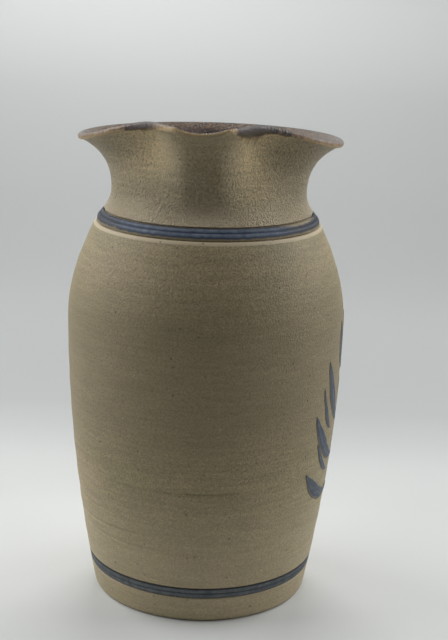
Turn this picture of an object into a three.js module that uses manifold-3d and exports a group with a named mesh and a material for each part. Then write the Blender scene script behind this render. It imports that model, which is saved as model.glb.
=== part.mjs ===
// Stoneware pitcher: a thrown belly, a thrown collar with a pulled spout, a pulled strap handle stuck on
// at the back, ribbed slip lines, a brushed sprig of slip and a coat of glaze inside and over the rim.
// Millimetres, +Z up. The origin is the centre of the base on the table. The spout points along -Y, the
// handle stands along +Y and the sprig faces +X. Angles round the pot start at the spout, towards +X.

import * as THREE from "three";
import { mergeVertices } from "three/addons/utils/BufferGeometryUtils.js";
import Module from "manifold-3d";

const wasm = await Module();
wasm.setup();

const { lerp, clamp, degToRad, radToDeg, smoothstep } = THREE.MathUtils;

// Belly
const BODY_HEIGHT = 198.4; // shoulder joint above the table
const BASE_RADIUS = 56.7; // wall carried down to the table
const HEEL_ROUND = 2.7; // rounding where the wall meets the base
const BELLY_RADIUS = 72.1; // widest place
const BELLY_DROP = 48.4; // widest place below the shoulder joint
const SHOULDER_RADIUS = 58.2;
const SHOULDER_POWER = 1.8; // 1 is a straight cone, more is a rounder shoulder
const RIDGE_ROUND = 0.7; // rounded edge of the shoulder under the joint
const BODY_WALL = 6.5;
const FLOOR_THICKNESS = 9;
const FLOOR_FILLET = 12;

// Collar, with heights above the shoulder joint
const BAND_LEAN = 40; // degrees off upright of the band that carries the shoulder lines
const WAIST_HEIGHT = 15.8; // narrowest place
const WAIST_RADIUS = 50.4;
const RIM_HEIGHT = 43.5; // top of the rim at the back
const RIM_RADIUS = 69.1; // outermost, over the glaze
const FLARE_SLOPE = 0.46; // rise of the flare at the lip for each millimetre outwards
const COLLAR_WALL = 5;
const LIP_THICKNESS = 1.8; // bare clay at the lip

// Spout, pulled into the front of the rim, with angles in degrees from its middle
const FOLD_HEIGHT = 9.6; // above the joint, where the wall starts to follow the spout
const RIM_RISE = 12.6; // front of the rim above its back
const RIM_RISE_ANGLE = 62; // to where the rise has faded out to a third
const SPOUT_ANGLE = 10.5; // to the crease at each side of the spout
const CREASE_ANGLE = 2; // over which the crease is rounded
const SPOUT_REACH = 5; // spout pulled out past the rim
const LIP_DIP = 2.5; // middle of the spout below the creases
const PINCH_DEPTH = 16; // hollow pressed in by finger and thumb at each side of the spout
const PINCH_ANGLE = 27; // from the crease to the deepest place of the hollow

// Handle
const HANDLE_DROP = 22; // upper joint below the top of the rim at the back
const HANDLE_SPAN = 93; // upper joint to lower joint
const FINGER_ROOM = 32; // between the belly and the handle
const HANDLE_RISE = 12; // how far the upper end points up
const HANDLE_SWEEP = 10; // how far the lower end sweeps up
const STRAP_WIDTH_TOP = 34;
const STRAP_WIDTH_MIDDLE = 27;
const STRAP_WIDTH_BOTTOM = 31;
const STRAP_THICKNESS_TOP = 12;
const STRAP_THICKNESS_BOTTOM = 9.5;
const STRAP_GROOVE = 1.2; // depth of the thumb groove down the outside
const STRAP_GROOVE_WIDTH = 7; // to where the groove has faded out to a third
const LUTE_SPREAD = 5; // clay worked out round each end on the wall
const LUTE_LENGTH = 12; // and up along the strap
const LUTE_EDGE = 0.9; // clay left at its thin edge

// Slip lines
const LINE_WIDTH = 2.2;
const LINE_HEIGHT = 0.8; // crown of a line above its seat
const LINE_SEAT = 0.8; // depth of the groove that the lines sit in
const LINE_GAP = 0.3; // beside and between the two lines of a pair
const SHADOW_GROOVE = 1.2; // bare groove under the shoulder lines
const BARE_EDGE = 0.6; // and over them
const FOOT_LINES_HEIGHT = 14.3; // lower edge of the groove at the foot

// Sprig of slip on the belly
const SPRIG_ANGLE = 90; // degrees from the spout
const SPRIG_LOWER_GAP = 32; // clear wall over the foot lines
const SPRIG_UPPER_GAP = 44; // clear wall under the shoulder joint
const SLIP_HEIGHT = 0.6; // crown of a brush stroke

// Fits
const CLEARANCE = 0.3; // between pieces that touch
const GLAZE_COAT = 0.4;

// Facets
const BODY_SEGMENTS = 44;
const COLLAR_SEGMENTS = 54;
const FACET_CROWDING = 0.4; // collar facets crowd towards the spout, 0 is even
const LINE_SEGMENTS = 40;
const ROUND_STEPS = 4; // along the heel, the floor fillet and the shoulder edge
const WALL_STEPS = 7; // from the foot to the widest place, and again to the shoulder
const INSIDE_STEPS = 6; // up the inside of the belly
const NECK_STEPS = 3; // up to the waist, and twice as many on to the lip
const LIP_STEPS = 5;
const STRAP_STEPS = 18;
const STRAP_SIDES = 16;
const LUTE_STEPS = 6;
const STROKE_STEPS = 9;

// Places worked out from the sizes
const bellyHeight = BODY_HEIGHT - BELLY_DROP;
const collarBase = BODY_HEIGHT + CLEARANCE;
const rimTop = BODY_HEIGHT + RIM_HEIGHT;
const pairWidth = 2 * LINE_WIDTH + 3 * LINE_GAP;
const bandFoot = new THREE.Vector2(SHOULDER_RADIUS - RIDGE_ROUND, collarBase);
const bandUp = new THREE.Vector2(-Math.sin(degToRad(BAND_LEAN)), Math.cos(degToRad(BAND_LEAN)));
const bandLinesFoot = bandFoot.clone().addScaledVector(bandUp, SHADOW_GROOVE);
const bandLinesHead = bandLinesFoot.clone().addScaledVector(bandUp, pairWidth);
const bandHead = bandLinesHead.clone().addScaledVector(bandUp, BARE_EDGE);
const neckFoot = bandHead.clone().add(new THREE.Vector2(LINE_SEAT, LINE_SEAT));
const waist = new THREE.Vector2(WAIST_RADIUS, BODY_HEIGHT + WAIST_HEIGHT);
const lipRound = LIP_THICKNESS / 2;
const coatTop = CLEARANCE + GLAZE_COAT;
const lipReach = lipRound + coatTop;
const lipCentre = new THREE.Vector2(RIM_RADIUS - lipReach, rimTop - lipReach);
const lipAngle = Math.atan(FLARE_SLOPE);

const clay = { color: 0x9d9177, roughness: 0.8, metalness: 0 };
const cobalt = { color: 0x4c566c, roughness: 0.6, metalness: 0 };
const brownGlaze = { color: 0x4a3d3a, roughness: 0.15, metalness: 0 };

const pitcher = new THREE.Group();

function addPiece(name, geometry, finish) {
  geometry.computeVertexNormals();
  const piece = new THREE.Mesh(geometry, new THREE.MeshStandardMaterial(finish));
  piece.name = name;
  pitcher.add(piece);
}

// Shared shapes

function samples(count) {
  return Array.from({ length: count + 1 }, (_, index) => index / count);
}

// Bell curve round 0 that has faded out to a third at width.
function fade(value, width, power) {
  return Math.exp(-(Math.abs(value / width) ** power));
}

// A profile of (radius, height) points turned round the pot's axis, the outside running upwards. Rising
// and falling stretches split their facets along the same diagonal, so a thin gap between walls stays even.
function turned(profile, segments) {
  const geometry = new THREE.LatheGeometry(profile, segments);
  const corners = [];
  for (let segment = 0; segment < segments; segment += 1) {
    for (let step = 0; step + 1 < profile.length; step += 1) {
      const a = segment * profile.length + step;
      const b = a + profile.length;
      const rising = profile[step + 1].y >= profile[step].y;
      corners.push(...(rising ? [a, b, a + 1, b + 1, a + 1, b] : [a, b, b + 1, a, b + 1, a + 1]));
    }
  }
  geometry.setIndex(corners);
  geometry.rotateX(Math.PI / 2);
  return withSharedVertices(geometry);
}

function withSharedVertices(geometry) {
  geometry.deleteAttribute("normal");
  geometry.deleteAttribute("uv");
  const merged = mergeVertices(geometry);
  const corners = merged.index.array;
  const kept = [];
  for (let start = 0; start < corners.length; start += 3) {
    const [a, b, c] = corners.slice(start, start + 3);
    if (a !== b && b !== c && c !== a) {
      kept.push(a, b, c);
    }
  }
  merged.setIndex(kept);
  return merged;
}

// A skin over rings of equally many points, closed by a fan at each end.
function lofted(rings) {
  const sides = rings[0].length;
  const corners = [];
  for (let ring = 0; ring + 1 < rings.length; ring += 1) {
    for (let side = 0; side < sides; side += 1) {
      const a = ring * sides + side;
      const b = ring * sides + ((side + 1) % sides);
      corners.push(a, b, b + sides, a, b + sides, a + sides);
    }
  }
  const last = (rings.length - 1) * sides;
  for (let side = 1; side + 1 < sides; side += 1) {
    corners.push(0, side + 1, side);
    corners.push(last, last + side, last + side + 1);
  }
  const geometry = new THREE.BufferGeometry().setFromPoints(rings.flat());
  geometry.setIndex(corners);
  return geometry;
}

function solidOf(geometry) {
  const vertProperties = new Float32Array(geometry.attributes.position.array);
  const triVerts = new Uint32Array(geometry.index.array);
  return new wasm.Manifold(new wasm.Mesh({ numProp: 3, vertProperties, triVerts }));
}

function geometryOf(solid) {
  const mesh = solid.getMesh();
  const geometry = new THREE.BufferGeometry();
  geometry.setAttribute("position", new THREE.BufferAttribute(mesh.vertProperties, 3));
  geometry.setIndex(Array.from(mesh.triVerts));
  return geometry;
}

// Profiles

function wallRadius(height) {
  if (height < bellyHeight) {
    const below = (bellyHeight - height) / bellyHeight;
    return BELLY_RADIUS - (BELLY_RADIUS - BASE_RADIUS) * below ** 2;
  }
  const above = (height - bellyHeight) / BELLY_DROP;
  return BELLY_RADIUS - (BELLY_RADIUS - SHOULDER_RADIUS) * above ** SHOULDER_POWER;
}

function wallPoint(height, inset) {
  return new THREE.Vector2(wallRadius(height) - inset, height);
}

function wallPoints(from, to, steps, inset) {
  return samples(steps).map((share) => wallPoint(lerp(from, to, share), inset));
}

// Points round a centre, from one angle to another.
function arc(centre, radius, from, to, steps) {
  return samples(steps).map((share) => {
    const angle = lerp(from, to, share);
    return new THREE.Vector2(Math.cos(angle), Math.sin(angle)).multiplyScalar(radius).add(centre);
  });
}

// One face of the collar's wall: from its foot in to the waist, then out along the flare to the side of
// the lip that faces the same way. Shift moves the points to the right of the way they run.
function neckFace(foot, narrowest, lipSide, shift, steps) {
  const lipEnd = arc(lipCentre, lipRound, lipSide, lipSide, 1)[0];
  const flareStart = lipEnd.y - FLARE_SLOPE * (lipEnd.x - narrowest.x);
  const footEnd = new THREE.Vector2(narrowest.x, (foot.y + narrowest.y) / 2);
  const lower = new THREE.QuadraticBezierCurve(foot, footEnd, narrowest);
  const flareEnd = new THREE.Vector2(narrowest.x, flareStart);
  const upper = new THREE.QuadraticBezierCurve(narrowest, flareEnd, lipEnd);
  const moved = (curve) => (share) => {
    const tangent = curve.getTangent(share);
    return new THREE.Vector2(tangent.y, -tangent.x).multiplyScalar(shift).add(curve.getPoint(share));
  };
  return [...samples(steps).map(moved(lower)), ...samples(2 * steps).slice(1).map(moved(upper))];
}

function neckOutside(lift, steps) {
  return neckFace(neckFoot, waist, lipAngle - Math.PI / 2, lift, steps);
}

function neckInside(lift) {
  const foot = new THREE.Vector2(SHOULDER_RADIUS - BODY_WALL, collarBase);
  const narrowest = new THREE.Vector2(waist.x - COLLAR_WALL, waist.y);
  return neckFace(foot, narrowest, lipAngle + Math.PI / 2, -lift, NECK_STEPS);
}

// The rounded lip from its inner side over the tip to its outer side, moved outwards by lift.
function lipArc(lift) {
  const inner = lipAngle + Math.PI / 2;
  return arc(lipCentre, lipRound + lift, inner, inner - Math.PI, LIP_STEPS);
}

// The floor, its fillet and the inside of the belly, moved into the pot by lift.
function bellyInside(lift) {
  const floor = FLOOR_THICKNESS + lift;
  const filletTop = FLOOR_THICKNESS + FLOOR_FILLET;
  const inset = BODY_WALL + lift;
  const wallFoot = wallPoint(filletTop, inset);
  const corner = new THREE.QuadraticBezierCurve(
    new THREE.Vector2(wallFoot.x - FLOOR_FILLET, floor),
    new THREE.Vector2(wallRadius(FLOOR_THICKNESS) - inset, floor),
    wallFoot,
  );
  return [
    new THREE.Vector2(0, floor),
    ...corner.getPoints(ROUND_STEPS),
    ...wallPoints(filletTop, BODY_HEIGHT, INSIDE_STEPS, inset).slice(1),
  ];
}

// Spout: the front of the rim rises, its lip is pulled out and down, and a hollow is pressed in at each
// side of it.
function pullSpout(geometry) {
  const position = geometry.attributes.position;
  const point = new THREE.Vector3();
  for (let index = 0; index < position.count; index += 1) {
    point.fromBufferAttribute(position, index);
    const evenTurn = Math.atan2(point.x, -point.y);
    const turn = evenTurn - FACET_CROWDING * Math.sin(evenTurn);
    const angle = radToDeg(turn);
    const share = smoothstep(point.z, BODY_HEIGHT + FOLD_HEIGHT, rimTop);
    const pastCrease = Math.abs(angle) - SPOUT_ANGLE;
    const hollow = (pastCrease + Math.hypot(pastCrease, CREASE_ANGLE)) / 2 / PINCH_ANGLE;
    const pinch = PINCH_DEPTH * hollow * Math.exp((1 - hollow ** 2) / 2);
    const reach = SPOUT_REACH * fade(angle, SPOUT_ANGLE + PINCH_ANGLE / 2, 4);
    const rise = RIM_RISE * fade(angle, RIM_RISE_ANGLE, 4);
    const dip = LIP_DIP * Math.max(0, 1 - (angle / SPOUT_ANGLE) ** 2);
    const radius = Math.hypot(point.x, point.y) + share * (reach - pinch);
    const height = point.z + share * (rise - dip);
    position.setXYZ(index, radius * Math.sin(turn), -radius * Math.cos(turn), height);
  }
  return geometry;
}

// Body, collar and glaze coat

function bodyGeometry() {
  const heel = new THREE.QuadraticBezierCurve(
    new THREE.Vector2(BASE_RADIUS - HEEL_ROUND, 0),
    new THREE.Vector2(BASE_RADIUS, 0),
    wallPoint(HEEL_ROUND, 0),
  );
  const grooveFoot = FOOT_LINES_HEIGHT;
  const grooveHead = FOOT_LINES_HEIGHT + pairWidth;
  const ridge = new THREE.QuadraticBezierCurve(
    wallPoint(BODY_HEIGHT - RIDGE_ROUND, 0),
    new THREE.Vector2(SHOULDER_RADIUS, BODY_HEIGHT),
    new THREE.Vector2(SHOULDER_RADIUS - RIDGE_ROUND, BODY_HEIGHT),
  );
  return turned(
    [
      new THREE.Vector2(0, 0),
      ...heel.getPoints(ROUND_STEPS),
      wallPoint(grooveFoot - LINE_SEAT, 0),
      wallPoint(grooveFoot, LINE_SEAT),
      wallPoint(grooveHead, LINE_SEAT),
      ...wallPoints(grooveHead + LINE_SEAT, bellyHeight, WALL_STEPS, 0),
      ...wallPoints(bellyHeight, BODY_HEIGHT - RIDGE_ROUND, WALL_STEPS, 0).slice(1, -1),
      ...ridge.getPoints(ROUND_STEPS),
      ...bellyInside(0).reverse(),
    ],
    BODY_SEGMENTS,
  );
}

function collarGeometry() {
  const profile = [
    bandFoot,
    bandHead,
    ...neckOutside(0, NECK_STEPS),
    ...lipArc(0).reverse().slice(1, -1),
    ...neckInside(0).reverse(),
    bandFoot,
  ];
  return pullSpout(turned(profile, COLLAR_SEGMENTS));
}

function linerGeometry() {
  const face = (lift) => [...bellyInside(lift), ...neckInside(lift).slice(1), ...lipArc(lift).slice(1)];
  return pullSpout(turned([...face(CLEARANCE), ...face(coatTop).reverse()], COLLAR_SEGMENTS));
}

// Slip lines: rounded cords side by side on a seat that runs from its foot up to its head

const cordSection = [
  [0, 0],
  [0.2, 0.65],
  [0.5, 1],
  [0.8, 0.65],
  [1, 0],
];

function addLinePair(name, foot, head) {
  const up = head.clone().sub(foot).normalize();
  const out = new THREE.Vector2(up.y, -up.x);
  ["lower", "upper"].forEach((place, index) => {
    const start = LINE_GAP + index * (LINE_WIDTH + LINE_GAP);
    const profile = cordSection.map(([across, crown]) =>
      foot
        .clone()
        .addScaledVector(up, start + across * LINE_WIDTH)
        .addScaledVector(out, CLEARANCE + crown * LINE_HEIGHT),
    );
    addPiece(`${name}_${place}`, turned([...profile, profile[0]], LINE_SEGMENTS), cobalt);
  });
}

// Handle: a strap drawn along one curve behind the pot, thinner towards its lower end

const upperJoint = new THREE.Vector3(0, WAIST_RADIUS, rimTop - HANDLE_DROP);
const lowerHeight = upperJoint.z - HANDLE_SPAN;
const lowerJoint = new THREE.Vector3(0, wallRadius(lowerHeight), lowerHeight);

// Halfway along, the curve lies an eighth towards each joint and three quarters towards its two pulls.
function handleCurve() {
  const bow = BELLY_RADIUS + FINGER_ROOM + STRAP_THICKNESS_TOP / 2;
  const pull = (bow - (upperJoint.y + lowerJoint.y) / 8) / (3 / 4);
  return new THREE.CubicBezierCurve3(
    upperJoint,
    new THREE.Vector3(0, pull, upperJoint.z + HANDLE_RISE),
    new THREE.Vector3(0, pull, lowerJoint.z + HANDLE_SWEEP),
    lowerJoint,
  );
}

const strapLine = handleCurve();
const strapLength = strapLine.getLength();

function strapWidth(share) {
  if (share < 0.5) {
    return lerp(STRAP_WIDTH_TOP, STRAP_WIDTH_MIDDLE, 2 * share);
  }
  return lerp(STRAP_WIDTH_MIDDLE, STRAP_WIDTH_BOTTOM, 2 * share - 1);
}

// One ring of the strap at a distance along it, grown by extra on every side.
function strapRing(distance, extra) {
  const share = clamp(distance / strapLength, 0, 1);
  const along = strapLine.getTangentAt(share);
  const past = distance - share * strapLength;
  const centre = strapLine.getPointAt(share).addScaledVector(along, past);
  const out = new THREE.Vector3(0, -along.z, along.y);
  const halfWidth = strapWidth(share) / 2 + extra;
  const halfThickness = lerp(STRAP_THICKNESS_TOP, STRAP_THICKNESS_BOTTOM, share) / 2 + extra;
  return Array.from({ length: STRAP_SIDES }, (_, side) => {
    const angle = (-2 * Math.PI * side) / STRAP_SIDES;
    const across = halfWidth * Math.cos(angle);
    const groove = STRAP_GROOVE * fade(across, STRAP_GROOVE_WIDTH, 2) * Math.max(0, Math.sin(angle));
    const outwards = halfThickness * Math.sin(angle) - groove;
    return centre.clone().addScaledVector(out, outwards).setX(across);
  });
}

function strap(extra) {
  const root = COLLAR_WALL;
  const ringAt = (share) => strapRing(lerp(-root, strapLength + root, share), extra);
  return solidOf(lofted(samples(STRAP_STEPS).map(ringAt)));
}

// The clay worked round one end of the strap, spreading towards the wall.
function lute(atStart) {
  const rings = samples(LUTE_STEPS).map((share) => {
    const distance = lerp(-COLLAR_WALL, LUTE_LENGTH, share);
    const left = 1 - Math.max(0, distance) / LUTE_LENGTH;
    const extra = LUTE_EDGE + LUTE_SPREAD * left ** 2;
    return strapRing(atStart ? distance : strapLength - distance, extra);
  });
  return solidOf(lofted(atStart ? rings : rings.reverse()));
}

// The whole outside of the pot with a clearance, to cut what is stuck on it.
function potEnvelope() {
  const linesOutside = SHOULDER_RADIUS + CLEARANCE + LINE_HEIGHT;
  const profile = [
    new THREE.Vector2(0, FOOT_LINES_HEIGHT),
    ...wallPoints(FOOT_LINES_HEIGHT, BODY_HEIGHT - RIDGE_ROUND, 4 * WALL_STEPS, -CLEARANCE),
    new THREE.Vector2(linesOutside, BODY_HEIGHT + RIDGE_ROUND),
    ...neckOutside(CLEARANCE, 2 * NECK_STEPS),
    new THREE.Vector2(0, lipCentre.y),
  ];
  return solidOf(turned(profile, 2 * BODY_SEGMENTS));
}

function addHandle() {
  const pot = potEnvelope();
  const room = strap(CLEARANCE);
  addPiece("handle", geometryOf(strap(0).subtract(pot)), clay);
  addPiece("handle_upper_lute", geometryOf(lute(true).subtract(room).subtract(pot)), clay);
  addPiece("handle_lower_lute", geometryOf(lute(false).subtract(room).subtract(pot)), clay);
}

// Sprig: brush strokes laid on the wall, drawn as one pattern whose unit is the sprig's height. A stroke
// is a curve of (across, up) points, its breadth, and where it swells: 1 is halfway, more is later.

const sprigFoot = FOOT_LINES_HEIGHT + pairWidth + SPRIG_LOWER_GAP;
const sprigHeight = BODY_HEIGHT - SPRIG_UPPER_GAP - sprigFoot;

const middleStrokes = {
  stem: { line: [[0, 0], [0.01, 0.35], [0, 0.66]], breadth: 0.035, swell: 1 },
  petal_middle: { line: [[0, 0.7], [0, 0.85], [0, 1]], breadth: 0.088, swell: 1 },
};
const sideStrokes = {
  leaf_lower: { line: [[0.03, 0.08], [0.27, 0.02], [0.44, 0.24]], breadth: 0.083, swell: 1.5 },
  leaf_middle: { line: [[0.03, 0.25], [0.25, 0.24], [0.4, 0.54]], breadth: 0.083, swell: 1.5 },
  leaf_upper: { line: [[0.03, 0.43], [0.19, 0.47], [0.3, 0.8]], breadth: 0.083, swell: 1.5 },
  tendril_lower: { line: [[0.17, 0.2], [0.26, 0.21], [0.36, 0.385]], breadth: 0.039, swell: 1 },
  tendril_upper: { line: [[0.21, 0.43], [0.28, 0.47], [0.34, 0.67]], breadth: 0.039, swell: 1 },
  petal: { line: [[0.03, 0.7], [0.09, 0.74], [0.13, 0.97]], breadth: 0.088, swell: 1.5 },
};
const tipShare = 0.15; // of a stroke's breadth, left at its ends
const strokeSection = [
  [0, 1],
  [-0.55, 0.8],
  [-1, 0],
  [0, 0],
  [1, 0],
  [0.55, 0.8],
];

function onWall(across, height, lift) {
  const angle = degToRad(SPRIG_ANGLE) + across / BELLY_RADIUS;
  const radius = wallRadius(height) + lift;
  return new THREE.Vector3(radius * Math.sin(angle), -radius * Math.cos(angle), height);
}

function brushStroke({ line, breadth, swell }, side) {
  const drawn = line.map(([across, up]) => new THREE.Vector2(side * across, up));
  const curve = new THREE.QuadraticBezierCurve(...drawn);
  const rings = samples(STROKE_STEPS).map((share) => {
    const fullness = tipShare + (1 - tipShare) * Math.sin(Math.PI * share ** swell);
    const centre = curve.getPoint(share);
    const along = curve.getTangent(share);
    const offside = new THREE.Vector2(-along.y, along.x).multiplyScalar((fullness * breadth) / 2);
    return strokeSection.map(([sideways, crown]) => {
      const spot = centre.clone().addScaledVector(offside, sideways).multiplyScalar(sprigHeight);
      return onWall(spot.x, sprigFoot + spot.y, CLEARANCE + crown * SLIP_HEIGHT);
    });
  });
  return lofted(rings);
}

function addSprig() {
  for (const [name, stroke] of Object.entries(middleStrokes)) {
    addPiece(`sprig_${name}`, brushStroke(stroke, 1), cobalt);
  }
  for (const [name, stroke] of Object.entries(sideStrokes)) {
    addPiece(`sprig_${name}_left`, brushStroke(stroke, -1), cobalt);
    addPiece(`sprig_${name}_right`, brushStroke(stroke, 1), cobalt);
  }
}

addPiece("body", bodyGeometry(), clay);
addPiece("collar", collarGeometry(), clay);
addPiece("liner_glaze", linerGeometry(), brownGlaze);
addLinePair("shoulder_line", bandLinesFoot, bandLinesHead);
addLinePair(
  "foot_line",
  wallPoint(FOOT_LINES_HEIGHT, LINE_SEAT),
  wallPoint(FOOT_LINES_HEIGHT + pairWidth, LINE_SEAT),
);
addHandle();
addSprig();

export default pitcher;
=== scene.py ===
"""Stoneware pitcher: the finished look of a thrown and salt-glazed pot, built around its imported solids.

Shapes are worked out in millimetres and placed in metres, in the frame of the solids: +Z up, the spout
towards -Y, the handle towards +Y, the brushed sprig towards +X. Angles round the pot start at the spout
and run towards +X.
"""

import math

import bpy
import numpy as np
from mathutils import Matrix


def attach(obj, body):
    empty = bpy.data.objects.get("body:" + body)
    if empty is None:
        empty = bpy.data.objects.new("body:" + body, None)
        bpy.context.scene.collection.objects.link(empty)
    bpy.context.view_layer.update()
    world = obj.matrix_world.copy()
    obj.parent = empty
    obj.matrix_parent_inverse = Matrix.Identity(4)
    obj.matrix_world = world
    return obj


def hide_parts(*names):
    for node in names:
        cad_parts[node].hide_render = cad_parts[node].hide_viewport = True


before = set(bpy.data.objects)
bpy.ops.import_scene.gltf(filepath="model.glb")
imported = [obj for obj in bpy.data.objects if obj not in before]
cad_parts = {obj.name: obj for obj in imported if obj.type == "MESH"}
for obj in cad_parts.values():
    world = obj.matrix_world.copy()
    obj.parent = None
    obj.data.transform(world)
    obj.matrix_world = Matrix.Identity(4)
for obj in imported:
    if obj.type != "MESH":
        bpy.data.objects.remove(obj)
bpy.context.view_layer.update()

scene = bpy.context.scene
MM = 0.001

# Sizes of the pot, as the solids have them

BODY_HEIGHT = 198.4
BASE_RADIUS = 56.7
HEEL_ROUND = 2.7
BELLY_RADIUS = 72.1
BELLY_DROP = 48.4
SHOULDER_RADIUS = 58.2
SHOULDER_POWER = 1.8
RIDGE_ROUND = 0.7
BODY_WALL = 6.5
FLOOR_THICKNESS = 9.0
FLOOR_FILLET = 12.0

BAND_LEAN = math.radians(40)
WAIST_HEIGHT = 15.8
WAIST_RADIUS = 50.4
RIM_HEIGHT = 43.5
RIM_RADIUS = 69.1
FLARE_SLOPE = 0.46
COLLAR_WALL = 5.0
LIP_THICKNESS = 1.8

FOLD_HEIGHT = 9.6
RIM_RISE, RIM_RISE_ANGLE = 12.6, 62.0
SPOUT_ANGLE, CREASE_ANGLE = 10.5, 2.0
SPOUT_REACH, LIP_DIP = 5.0, 2.5
PINCH_DEPTH, PINCH_ANGLE = 16.0, 27.0

HANDLE_DROP = 22.0
HANDLE_SPAN = 93.0
FINGER_ROOM = 32.0
HANDLE_RISE = 12.0
HANDLE_SWEEP = 10.0
STRAP_WIDTH_TOP, STRAP_WIDTH_MIDDLE, STRAP_WIDTH_BOTTOM = 34.0, 27.0, 31.0
STRAP_THICKNESS_TOP, STRAP_THICKNESS_BOTTOM = 12.0, 9.5
STRAP_GROOVE, STRAP_GROOVE_WIDTH = 1.2, 7.0
LUTE_ROUND = 6.0

LINE_WIDTH = 2.2
LINE_SEAT = 0.8
LINE_GAP = 0.3
SHADOW_GROOVE = 1.2
BARE_EDGE = 0.6
FOOT_LINES_HEIGHT = 14.3

SPRIG_ANGLE = math.radians(90)
SPRIG_ABOVE_FOOT = 32.0
SPRIG_BELOW_SHOULDER = 44.0

CLEARANCE = 0.3
COAT = 0.7

# Finer sizes that only the finished look has

EDGE_ROUND = 0.3
RING_STEP = 0.7
COAT_EASE = 0.1
SKIN_SUNK = 0.15
STRAP_EASE = 0.35
STRAP_END_SUNK = 3.0
STRAP_SQUARENESS = 0.86
LUTE_SUNK = 0.4
LUTE_FOOT_SUNK = 1.5
STROKE_HEIGHT = 0.25
STROKE_EDGE = 0.02
STROKE_SUNK = 0.12

# Places that follow from these sizes

BELLY_HEIGHT = BODY_HEIGHT - BELLY_DROP
COLLAR_BASE = BODY_HEIGHT + CLEARANCE
RIM_TOP = BODY_HEIGHT + RIM_HEIGHT
PAIR_WIDTH = 2 * LINE_WIDTH + 3 * LINE_GAP
BAND_UP = np.array([-math.sin(BAND_LEAN), math.cos(BAND_LEAN)])
BAND_FOOT = np.array([SHOULDER_RADIUS - RIDGE_ROUND, COLLAR_BASE])
BAND_LINES_FOOT = BAND_FOOT + SHADOW_GROOVE * BAND_UP
BAND_HEAD = BAND_LINES_FOOT + (PAIR_WIDTH + BARE_EDGE) * BAND_UP
NECK_FOOT = BAND_HEAD + LINE_SEAT
WAIST = np.array([WAIST_RADIUS, BODY_HEIGHT + WAIST_HEIGHT])
LIP_ROUND = LIP_THICKNESS / 2
LIP_CENTRE = np.array([RIM_RADIUS, RIM_TOP]) - (LIP_ROUND + COAT)
LIP_ANGLE = math.atan(FLARE_SLOPE)


# Curves and profiles of (radius, height) points

def spread(start, end, count):
    return np.linspace(start, end, count)


def fade(value, width, power):
    return np.exp(-np.abs(value / width) ** power)


def smooth_share(value, start, end):
    share = np.clip((value - start) / (end - start), 0, 1)
    return share * share * (3 - 2 * share)


def bend(first, middle, last, share):
    share = np.asarray(share)[:, None]
    return first * (1 - share) ** 2 + 2 * middle * share * (1 - share) + last * share ** 2


def arc(centre, radius, start, end, count):
    angle = spread(start, end, count)
    return np.array(centre) + radius * np.stack([np.cos(angle), np.sin(angle)], axis=1)


def walked_along(points):
    """The distance of each point from the first, along the line."""
    steps = np.linalg.norm(np.diff(points, axis=0), axis=1)
    return np.concatenate([[0], np.cumsum(steps)])


def with_rounded_corners(points, radius, steps=5):
    """The same line with each corner cut back by radius and rounded."""
    points = np.array(points, float)
    out = [points[:1]]
    for before, corner, after in zip(points[:-2], points[1:-1], points[2:]):
        room_in = np.linalg.norm(before - corner)
        room_out = np.linalg.norm(after - corner)
        start = corner + (before - corner) * min(0.45, radius / room_in)
        end = corner + (after - corner) * min(0.45, radius / room_out)
        out.append(bend(start, corner, end, spread(0, 1, steps)))
    out.append(points[-1:])
    return np.concatenate(out)


def drawn_finely(points, step):
    """The same line with points no further than step apart."""
    out = [points[:1]]
    for start, end in zip(points[:-1], points[1:]):
        count = max(1, math.ceil(np.linalg.norm(end - start) / step))
        out.append(start + (end - start) * spread(0, 1, count + 1)[1:, None])
    return np.concatenate(out)


def wall_radius(height):
    height = np.asarray(height, float)
    below = np.clip((BELLY_HEIGHT - height) / BELLY_HEIGHT, 0, None)
    above = np.clip((height - BELLY_HEIGHT) / BELLY_DROP, 0, None)
    lower = (BELLY_RADIUS - BASE_RADIUS) * below ** 2
    upper = (BELLY_RADIUS - SHOULDER_RADIUS) * above ** SHOULDER_POWER
    return BELLY_RADIUS - lower - upper


def wall_point(height, inset):
    return np.array([wall_radius(height) - inset, height])


def wall_line(start, end, count, inset=0.0):
    height = spread(start, end, count)
    return np.stack([wall_radius(height) - inset, height], axis=1)


def neck_face(foot, narrowest, lip_side, count):
    """One face of the collar, from its foot in to the waist and out along the flare to the lip."""
    lip_end = LIP_CENTRE + LIP_ROUND * np.array([math.cos(lip_side), math.sin(lip_side)])
    flare_start = lip_end[1] - FLARE_SLOPE * (lip_end[0] - narrowest[0])
    half_way = np.array([narrowest[0], (foot[1] + narrowest[1]) / 2])
    lower = bend(foot, half_way, narrowest, spread(0, 1, count))
    upper = bend(narrowest, np.array([narrowest[0], flare_start]), lip_end, spread(0, 1, 2 * count))
    return np.concatenate([lower, upper[1:]])


def neck_outside(count=40):
    return neck_face(NECK_FOOT, WAIST, LIP_ANGLE - math.pi / 2, count)


def neck_inside(count=30):
    foot = np.array([SHOULDER_RADIUS - BODY_WALL, COLLAR_BASE])
    return neck_face(foot, WAIST - np.array([COLLAR_WALL, 0]), LIP_ANGLE + math.pi / 2, count)


def lip_arc(count=17):
    return arc(LIP_CENTRE, LIP_ROUND, LIP_ANGLE + math.pi / 2, LIP_ANGLE - math.pi / 2, count)


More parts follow.
